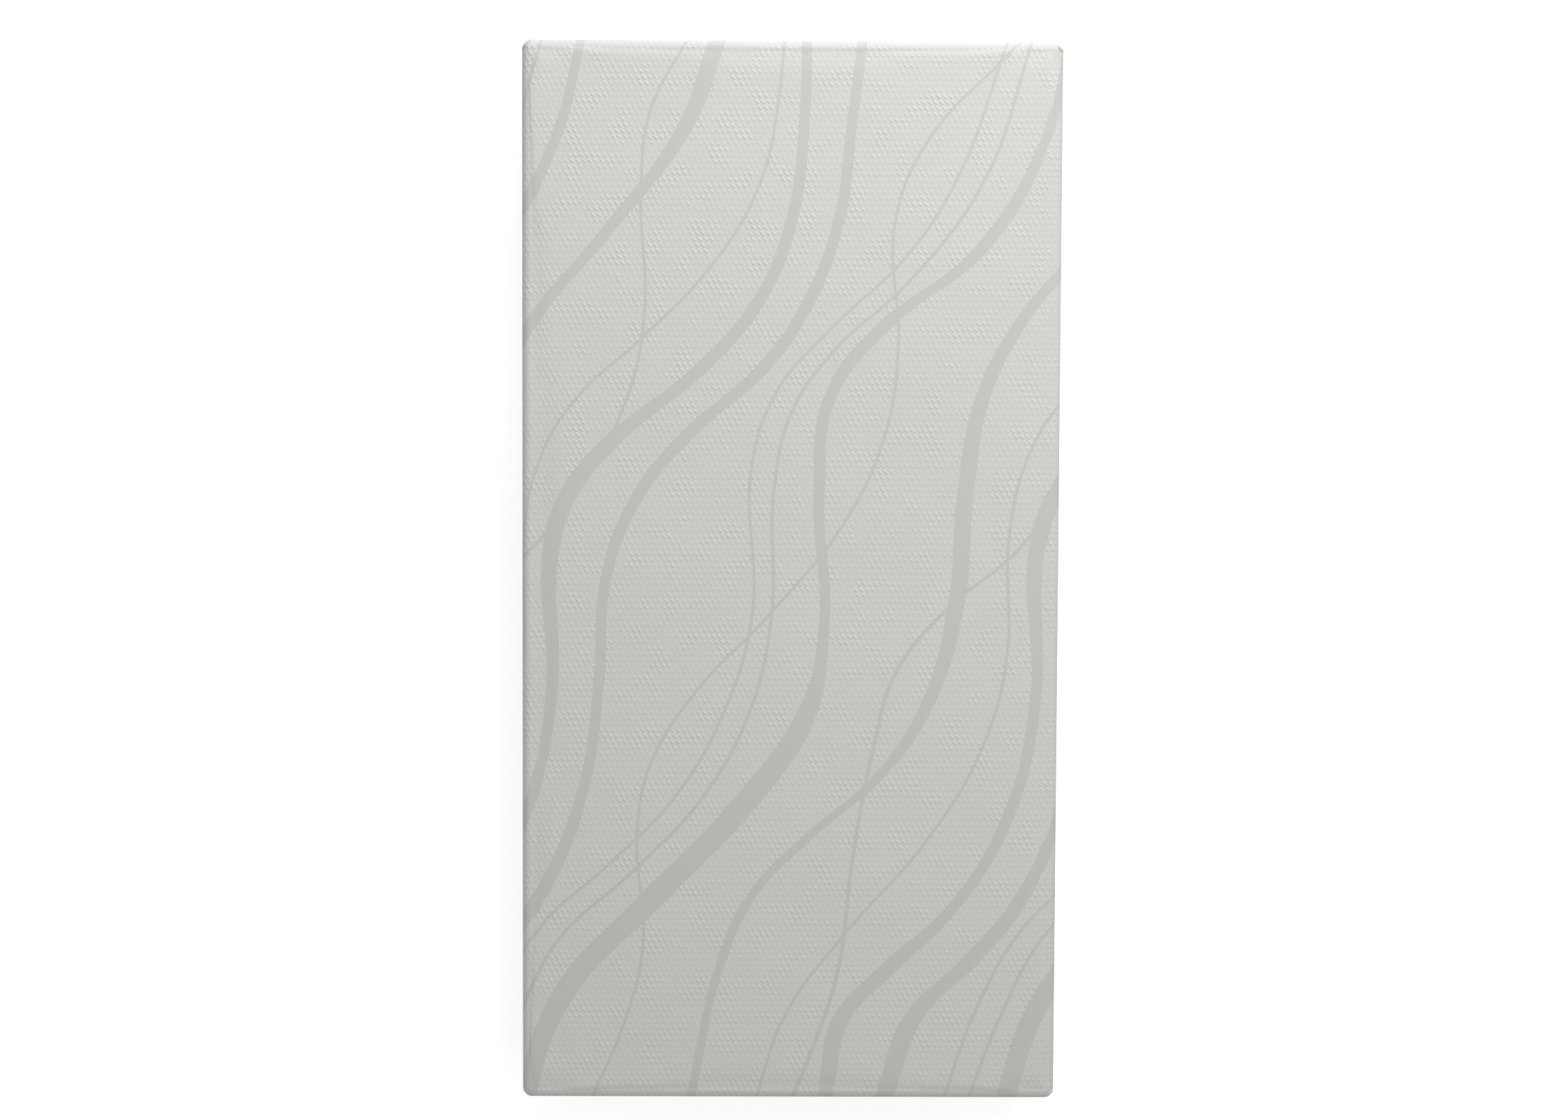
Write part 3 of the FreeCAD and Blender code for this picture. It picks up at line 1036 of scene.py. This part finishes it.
def curve_through(tree, factor, places, values):
    """A Float Curve through points that are given from the lowest place to the highest."""
    node = tree.nodes.new("ShaderNodeFloatCurve")
    curve = node.mapping.curves[0]
    curve.points[0].location = (places[0], values[0])
    curve.points[1].location = (places[-1], values[-1])
    for place, value in zip(places[1:-1], values[1:-1]):
        curve.points.new(place, value)
    node.mapping.update()
    feed(tree, node.inputs["Value"], factor)
    return node.outputs[0]


def ribbon_mask(tree, across, factor, ribbon):
    """1 inside one ribbon and 0 outside. Its width is measured square to it, so where it
    slants it takes more room across the cloth: width times the root of 1 + slope squared."""
    path = np.array(ribbon["path"][::-1]) * CM
    wide_at, wide = np.array(ribbon["width"][::-1]).T
    slope = np.gradient(path[:, 1], path[:, 0])
    room = np.interp(path[:, 0], wide_at * CM, wide * MM) * np.sqrt(1 + slope**2)
    places = (path[:, 0] + REACH) / (2 * REACH)
    centre = curve_through(tree, factor, places, (path[:, 1] + SPAN) / (2 * SPAN))
    centre = calc(tree, "MULTIPLY_ADD", centre, 2 * SPAN, -SPAN)
    half = curve_through(tree, factor, places, room / WIDEST)
    half = calc(tree, "MULTIPLY", half, WIDEST / 2)
    apart = calc(tree, "WRAP", calc(tree, "SUBTRACT", across, centre), REPEAT / 2, -REPEAT / 2)
    inside = calc(tree, "SUBTRACT", half, calc(tree, "ABSOLUTE", apart))
    return ramp(tree, inside, -EDGE_BLUR, EDGE_BLUR)


def make_ribbons_group():
    tree, given, result = new_group("Wavy ribbons", [("Cloth", "Vector", None)], [("Mask", "Float")])
    across, along, _ = split(tree, given["Cloth"])
    factor = calc(tree, "MULTIPLY_ADD", along, 0.5 / REACH, 0.5)
    mask = 0.0
    for ribbon in RIBBONS:
        mask = calc(tree, "MAXIMUM", mask, ribbon_mask(tree, across, factor, ribbon))
    feed(tree, result["Mask"], mask)
    return tree


ribbons_group = make_ribbons_group()
print("ribbons group", len(ribbons_group.nodes), "nodes")

# %% [markdown]
# ## The knit between the ribbons
#
# Between the ribbons the knit is drawn up into short slanting ridges, in rows that are shifted
# by half a ridge, and the hand can feel them. Each ridge is a long bell in its own little cell.
# They stand out more in some patches than in others, as knit does once it has been stretched
# over foam. Under all of it lie the fine rows of single stitches.


# %% Raised ridges and fine stitches
def make_ridges_group():
    inputs = [("Cloth", "Vector", None), ("Pitch", "Float", 10.5 * MM), ("Evenness", "Float", 0.5)]
    tree, given, result = new_group("Knit ridges", inputs, [("Height", "Float")])
    across, along, _ = split(tree, given["Cloth"])
    row = calc(tree, "DIVIDE", along, given["Pitch"])
    shift = calc(tree, "MULTIPLY", calc(tree, "FLOOR", row), 0.5)
    column = calc(tree, "ADD", calc(tree, "DIVIDE", across, given["Pitch"]), shift)
    x = calc(tree, "SUBTRACT", calc(tree, "FRACT", column), 0.5)
    y = calc(tree, "SUBTRACT", calc(tree, "FRACT", row), 0.5)
    square_to = calc(tree, "DIVIDE", calc(tree, "ADD", x, y), 0.27)
    lengthwise = calc(tree, "DIVIDE", calc(tree, "SUBTRACT", x, y), 0.62)
    far = calc(tree, "ADD", calc(tree, "POWER", calc(tree, "ABSOLUTE", square_to), 2.0),
               calc(tree, "POWER", calc(tree, "ABSOLUTE", lengthwise), 4.0))
    ridge = calc(tree, "EXPONENT", calc(tree, "MULTIPLY", far, -1.0))
    patchy = ramp(tree, noise(tree, given["Cloth"], 22.0, 3.0), 0.35, 0.68)
    amount = calc(tree, "MAXIMUM", patchy, given["Evenness"])
    feed(tree, result["Height"], calc(tree, "MULTIPLY", ridge, amount))
    return tree


def make_stitches_group():
    """Columns of V-shaped stitches: across each column the row bends, by half its own width."""
    inputs = [("Cloth", "Vector", None), ("Width", "Float", 1.7 * MM), ("Rise", "Float", 1.3 * MM)]
    tree, given, result = new_group("Fine stitches", inputs, [("Height", "Float")])
    across, along, _ = split(tree, given["Cloth"])
    column = calc(tree, "PINGPONG", calc(tree, "DIVIDE", across, given["Width"]), 0.5)
    row = calc(tree, "ADD", calc(tree, "DIVIDE", along, given["Rise"]), column)
    loop = calc(tree, "SINE", calc(tree, "MULTIPLY", row, 2 * math.pi))
    groove = calc(tree, "SINE", calc(tree, "MULTIPLY", column, 2 * math.pi))
    feed(tree, result["Height"], calc(tree, "MULTIPLY_ADD", loop, 0.5, groove))
    return tree


ridges_group = make_ridges_group()
stitches_group = make_stitches_group()


# %% The cover's material
def make_cover_knit():
    """Ridges stand between the ribbons, which lie a little lower and are spun from darker yarn."""
    material, tree, shader = new_material("cover knit", Roughness=0.88, Sheen_Weight=0.12)
    cloth = cloth_place(tree)
    mask = use_group(tree, ribbons_group, Cloth=cloth)["Mask"]
    ridges = use_group(tree, ridges_group, Cloth=cloth, Pitch=10.6 * MM, Evenness=0.3)["Height"]
    stitches = use_group(tree, stitches_group, Cloth=cloth)["Height"]
    ridges = calc(tree, "MULTIPLY", ridges, calc(tree, "SUBTRACT", 1.0, mask))
    cloudy = noise(tree, cloth, 5.0, 3.0)
    ground = blend_colours(tree, cloudy, linear(205, 203, 199), linear(210, 208, 204))
    # The ridges' tops are painted lighter than the knit round them: a painted highlight, laid over the bump
    # that raises them.
    ground = blend_colours(tree, calc(tree, "MULTIPLY", ridges, 0.6), ground, linear(217, 217, 213))
    colour = blend_colours(tree, mask, ground, linear(197, 195, 191))
    feed(tree, shader.inputs["Base Color"], colour)
    height = calc(tree, "MULTIPLY", ridges, 0.85)
    height = calc(tree, "MULTIPLY_ADD", stitches, 0.03, height)
    height = calc(tree, "MULTIPLY_ADD", mask, -0.12, height)
    feed(tree, shader.inputs["Normal"], raise_by(tree, height))
    return material


cover_knit = make_cover_knit()
paint(cover_top, cover_knit)

# %% [markdown]
# ## Plainer cloths
#
# The backing, the base, the patch and the tapes are plain woven or knitted cloth. In a plain
# weave each thread goes over one and under the next, like a chequerboard of small rolls, and
# the group below is just that. Each cloth uses it with its own thread size and its own colour.
# The fire sleeve is knitted, so it takes the stitches of the cover, only coarser.


# %% Woven and knitted cloths
def make_weave_group():
    """Rolls: sin(pi x) * sin(pi y)^0.4, turned a quarter on every other square."""
    inputs = [("Cloth", "Vector", None), ("Thread", "Float", 0.8 * MM)]
    tree, given, result = new_group("Plain weave", inputs, [("Height", "Float"), ("Slub", "Float")])
    across, along, _ = split(tree, given["Cloth"])
    u, v = (calc(tree, "DIVIDE", line, given["Thread"]) for line in (across, along))
    odd = calc(tree, "ADD", calc(tree, "FLOOR", u), calc(tree, "FLOOR", v))
    odd = calc(tree, "ABSOLUTE", calc(tree, "MODULO", odd, 2.0))
    within = (calc(tree, "FRACT", line) for line in (u, v))
    waves = [calc(tree, "SINE", calc(tree, "MULTIPLY", share, math.pi)) for share in within]
    rolls = []
    for first, second in (waves, waves[::-1]):
        rolls.append(calc(tree, "MULTIPLY", first, calc(tree, "POWER", second, 0.4)))
    turned = calc(tree, "MULTIPLY", calc(tree, "SUBTRACT", rolls[1], rolls[0]), odd)
    feed(tree, result["Height"], calc(tree, "ADD", rolls[0], turned))
    stretched = tree.nodes.new("ShaderNodeCombineXYZ")
    feed(tree, stretched.inputs[0], calc(tree, "MULTIPLY", u, 0.7))
    feed(tree, stretched.inputs[1], calc(tree, "MULTIPLY", v, 0.05))
    feed(tree, result["Slub"], noise(tree, stretched.outputs[0], 1.0, 2.0))
    return tree


weave_group = make_weave_group()


def make_woven(name, thread, relief, dark, light):
    """A plain woven cloth: two close colours along its uneven threads, with painted shade in the hollows
    between the threads' rolls.
    """
    material, tree, shader = new_material(name, Roughness=0.85, Sheen_Weight=0.08)
    weave = use_group(tree, weave_group, Cloth=cloth_place(tree), Thread=thread)
    # Colour follows the weave's height: painted shade between the rolls and lighter crowns. The slub adds
    # the threads' own unevenness.
    share = calc(tree, "MULTIPLY_ADD", weave["Height"], 0.5, calc(tree, "SUBTRACT", weave["Slub"], 0.3))
    share = calc(tree, "MULTIPLY", share, 1.0, clamp=True)
    feed(tree, shader.inputs["Base Color"], blend_colours(tree, share, dark, light))
    feed(tree, shader.inputs["Normal"], raise_by(tree, calc(tree, "MULTIPLY", weave["Height"], relief)))
    return material


def make_ribbed_knit(name, width, rise, relief, dark, light):
    material, tree, shader = new_material(name, Roughness=0.92, Sheen_Weight=0.15)
    cloth = cloth_place(tree)
    height = use_group(tree, stitches_group, Cloth=cloth, Width=width, Rise=rise)["Height"]
    # Colour follows the stitches' height: painted shade in the grooves between them and lighter loops, with
    # random tone from the noise.
    share = calc(tree, "MULTIPLY_ADD", height, 0.3, noise(tree, cloth, 14.0, 3.0), clamp=True)
    feed(tree, shader.inputs["Base Color"], blend_colours(tree, share, dark, light))
    feed(tree, shader.inputs["Normal"], raise_by(tree, calc(tree, "MULTIPLY", height, relief)))
    return material


paint(cover_backing, make_ribbed_knit(
    "knit backing", 1.1 * MM, 0.9 * MM, 0.08, linear(214, 214, 209), linear(226, 226, 222)))
base_weave = make_woven("base cloth", 1.1 * MM, 0.16, linear(186, 187, 184), linear(203, 204, 201))
for piece in (base_cloth, base_backing, patch):
    paint(piece, base_weave)
tape_weave = make_woven("zip tape weave", 0.62 * MM, 0.1, linear(198, 198, 194), linear(214, 214, 210))
for piece in tapes.values():
    paint(piece, tape_weave)
paint(sleeve, make_ribbed_knit(
    "fire sleeve knit", 2.2 * MM, 1.6 * MM, 0.2, linear(214, 211, 200), linear(234, 232, 224)))

# %% [markdown]
# ## Foam
#
# Foam is a mass of burst bubbles, and a blade leaves it as thousands of tiny cups. A Voronoi
# texture gives the cups: the distance to the nearest of many scattered points is a cup round
# each. A second, sparser set gives the odd large pore. The three foams differ in colour and in
# the size of their cells, with the memory foam the finest.


# %% Foam cells
def make_cells_group():
    inputs = [("Place", "Vector", None), ("Cells", "Float", 900.0)]
    tree, given, result = new_group("Foam cells", inputs, [("Height", "Float"), ("Pores", "Float")])
    cups = []
    for share in (1.0, 0.16):
        node = tree.nodes.new("ShaderNodeTexVoronoi")
        feed(tree, node.inputs["Vector"], given["Place"])
        feed(tree, node.inputs["Scale"], calc(tree, "MULTIPLY", given["Cells"], share))
        cups.append(node.outputs["Distance"])
    pores = ramp(tree, cups[1], 0.1, 0.24, 1.0, 0.0)
    height = calc(tree, "MULTIPLY_ADD", pores, -1.2, calc(tree, "POWER", cups[0], 2.0))
    feed(tree, result["Height"], height)
    feed(tree, result["Pores"], pores)
    return tree


cells_group = make_cells_group()


def make_foam(name, cells, dark, light):
    material, tree, shader = new_material(name, Roughness=0.95, Sheen_Weight=0.1)
    place = object_place(tree)
    cell = use_group(tree, cells_group, Place=place, Cells=cells)
    # The large pores are painted darker: painted shade inside them, on top of the bump that sinks them.
    share = calc(tree, "SUBTRACT", ramp(tree, noise(tree, place, 9.0, 3.0), 0.3, 0.7),
                 calc(tree, "MULTIPLY", cell["Pores"], 0.7), clamp=True)
    feed(tree, shader.inputs["Base Color"], blend_colours(tree, share, dark, light))
    feed(tree, shader.inputs["Normal"], raise_by(tree, cell["Height"], 0.35 * MM))
    return material


paint(foam_pieces["memory_foam_layer"], make_foam(
    "memory foam", 1100.0, linear(222, 219, 205), linear(233, 231, 219)))
paint(foam_pieces["transition_foam_layer"], make_foam(
    "transition foam", 800.0, linear(196, 208, 216), linear(208, 219, 226)))
paint(foam_pieces["support_foam_core"], make_foam(
    "support foam", 600.0, linear(228, 228, 224), linear(238, 238, 235)))

# %% [markdown]
# ## Thread, nylon and metal
#
# Sewing thread is twisted from two or three yarns, so fine bands run slantwise across it. The
# zip's wire is smooth nylon with a satin gloss. Its slider and pull are cast zinc with a thin
# plating, which is bright where fingers rub it and duller in its hollows, with fine scratches.
# A patchy noise and a stretched one, shared as a group, drive that.


# %% Thread and nylon
def make_thread():
    material, tree, shader = new_material("sewing thread", Roughness=0.6, Sheen_Weight=0.2)
    place = object_place(tree)
    x, y, z = split(tree, place)
    slant = calc(tree, "ADD", calc(tree, "ADD", x, y), calc(tree, "MULTIPLY", z, 1.7))
    twist = calc(tree, "SINE", calc(tree, "MULTIPLY", slant, 2 * math.pi / (0.45 * MM)))
    # The twist's bands are in the colour as well as the bump: painted shade in the grooves between the plies
    # and lighter crowns.
    share = calc(tree, "MULTIPLY_ADD", twist, 0.25, noise(tree, place, 60.0), clamp=True)
    colour = blend_colours(tree, share, linear(205, 205, 201), linear(228, 228, 224))
    feed(tree, shader.inputs["Base Color"], colour)
    feed(tree, shader.inputs["Normal"], raise_by(tree, calc(tree, "MULTIPLY", twist, 0.04)))
    return material


def make_nylon():
    material, tree, shader = new_material("zip nylon", Specular_IOR_Level=0.55, IOR=1.53)
    place = object_place(tree)
    rub = noise(tree, place, 140.0, 3.0)
    feed(tree, shader.inputs["Roughness"], ramp(tree, rub, 0.3, 0.7, 0.28, 0.5))
    share = ramp(tree, noise(tree, place, 18.0, 2.0), 0.3, 0.7)
    colour = blend_colours(tree, share, linear(196, 196, 192), linear(208, 208, 205))
    feed(tree, shader.inputs["Base Color"], colour)
    feed(tree, shader.inputs["Normal"], raise_by(tree, noise(tree, place, 2500.0), 0.02 * MM))
    return material


thread = make_thread()
for piece in (*hem_rows, patch_thread):
    paint(piece, thread)
nylon = make_nylon()
for piece in coils.values():
    paint(piece, nylon)


# %% Metal
def make_wear_group():
    """Rubbed is patchy and slow; Scratches are noise stretched fifteen times along the zip."""
    inputs = [("Place", "Vector", None), ("Size", "Float", 1.0)]
    tree, given, result = new_group("Metal wear", inputs, [("Rubbed", "Float"), ("Scratches", "Float")])
    scale = tree.nodes.new("ShaderNodeVectorMath")
    scale.operation = "SCALE"
    feed(tree, scale.inputs[0], given["Place"])
    feed(tree, scale.inputs["Scale"], given["Size"])
    feed(tree, result["Rubbed"], ramp(tree, noise(tree, scale.outputs[0], 240.0, 4.0), 0.35, 0.65))
    x, y, z = split(tree, scale.outputs[0])
    joined = tree.nodes.new("ShaderNodeCombineXYZ")
    for socket, value, factor in zip(joined.inputs, (x, y, z), (5.0, 0.35, 5.0)):
        feed(tree, socket, calc(tree, "MULTIPLY", value, factor))
    fine = noise(tree, joined.outputs[0], 900.0, 3.0, 0.6)
    feed(tree, result["Scratches"], ramp(tree, fine, 0.56, 0.7))
    return tree


wear_group = make_wear_group()


def make_metal(name, size, smooth, rough, dark, light):
    material, tree, shader = new_material(name, Metallic=1.0)
    wear = use_group(tree, wear_group, Place=object_place(tree), Size=size)
    dulling = calc(tree, "MULTIPLY_ADD", wear["Scratches"], 0.4, wear["Rubbed"], clamp=True)
    feed(tree, shader.inputs["Roughness"], ramp(tree, dulling, 0.0, 1.0, smooth, rough))
    feed(tree, shader.inputs["Base Color"], blend_colours(tree, dulling, light, dark))
    height = calc(tree, "MULTIPLY_ADD", wear["Rubbed"], 0.3, calc(tree, "MULTIPLY", wear["Scratches"], -0.5))
    feed(tree, shader.inputs["Normal"], raise_by(tree, height, 0.03 * MM))
    return material


slider_metal = make_metal("plated zinc", 0.6, 0.24, 0.36, linear(196, 196, 194), linear(211, 211, 209))
stop_metal = make_metal("stop aluminium", 1.6, 0.28, 0.5, linear(196, 197, 198), linear(220, 221, 222))
for piece in (top_stops, bottom_stop):
    paint(piece, stop_metal)
for node in ("slider_body", "pull_tab"):
    paint(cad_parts[node], slider_metal)

# %% [markdown]
# ## Floor, world and lamps
#
# The light is that of a plain studio: even light from all round, one large soft lamp above the
# head end and a little to the right, and a low panel at the head end that brightens the rolled
# edge there. The floor looks white, and keeps the soft shadow under the edge.


# %% Floor, world and lamps
def seen_directly(tree):
    """1 for rays that the floor or the world is seen by: straight, mirrored or through glass."""
    path = tree.nodes.new("ShaderNodeLightPath")
    direct = calc(tree, "ADD", path.outputs["Is Camera Ray"], path.outputs["Is Glossy Ray"])
    return calc(tree, "ADD", direct, path.outputs["Is Transmission Ray"], clamp=True)


def make_floor():
    """A wide square. To the eye it is pale and glows a little; to the light that it throws back
    at the mattress it is a plain grey."""
    reach = 30.0
    side = np.array([-reach, reach])
    x, y = np.meshgrid(side, side, indexing="ij")
    points = np.stack([x, y, np.full_like(x, -0.5 * MM)], axis=-1).reshape(-1, 3)
    floor = make_mesh("floor", points, grid_quads(2, 2), smooth=False)
    material = bpy.data.materials.new("floor paint")
    material.use_nodes = True
    tree = material.node_tree
    tree.nodes.clear()
    seen, bounce = tree.nodes.new("ShaderNodeBsdfDiffuse"), tree.nodes.new("ShaderNodeBsdfDiffuse")
    glow, both = tree.nodes.new("ShaderNodeEmission"), tree.nodes.new("ShaderNodeAddShader")
    mix = tree.nodes.new("ShaderNodeMixShader")
    output = tree.nodes.new("ShaderNodeOutputMaterial")
    seen.inputs["Color"].default_value = (0.85, 0.85, 0.85, 1)
    bounce.inputs["Color"].default_value = (0.58, 0.58, 0.58, 1)
    glow.inputs["Strength"].default_value = 0.6
    tree.links.new(seen.outputs[0], both.inputs[0])
    tree.links.new(glow.outputs[0], both.inputs[1])
    tree.links.new(bounce.outputs[0], mix.inputs[1])
    tree.links.new(both.outputs[0], mix.inputs[2])
    tree.links.new(seen_directly(tree), mix.inputs[0])
    tree.links.new(mix.outputs[0], output.inputs["Surface"])
    paint(floor, material)


def make_world():
    world = bpy.data.worlds.new("studio")
    bpy.context.scene.world = world
    world.use_nodes = True
    tree = world.node_tree
    background = next(n for n in tree.nodes if n.type == "BACKGROUND")
    background.inputs["Color"].default_value = (1, 1, 1, 1)
    strength = calc(tree, "MULTIPLY_ADD", seen_directly(tree), 0.5, 0.5)
    feed(tree, background.inputs["Strength"], strength)


def make_lamp(name, place, target, size, power, colour=(1, 1, 1)):
    data = bpy.data.lights.new(name, "AREA")
    data.shape = "RECTANGLE"
    data.size, data.size_y = size
    data.energy = power
    data.color = colour
    lamp = bpy.data.objects.new(name, data)
    lamp.location = place
    direction = Vector(target) - Vector(place)
    lamp.rotation_euler = direction.to_track_quat("-Z", "Y").to_euler()
    bpy.context.scene.collection.objects.link(lamp)


make_floor()
make_world()
make_lamp("key", (1.4, 1.5, 3.3), (0, 0, height), (1.8, 1.8), 54)
make_lamp("head panel", (0.4, 3.4, 1.1), (0, half_length, height), (2.4, 1.0), 58, (0.96, 0.98, 1.0))
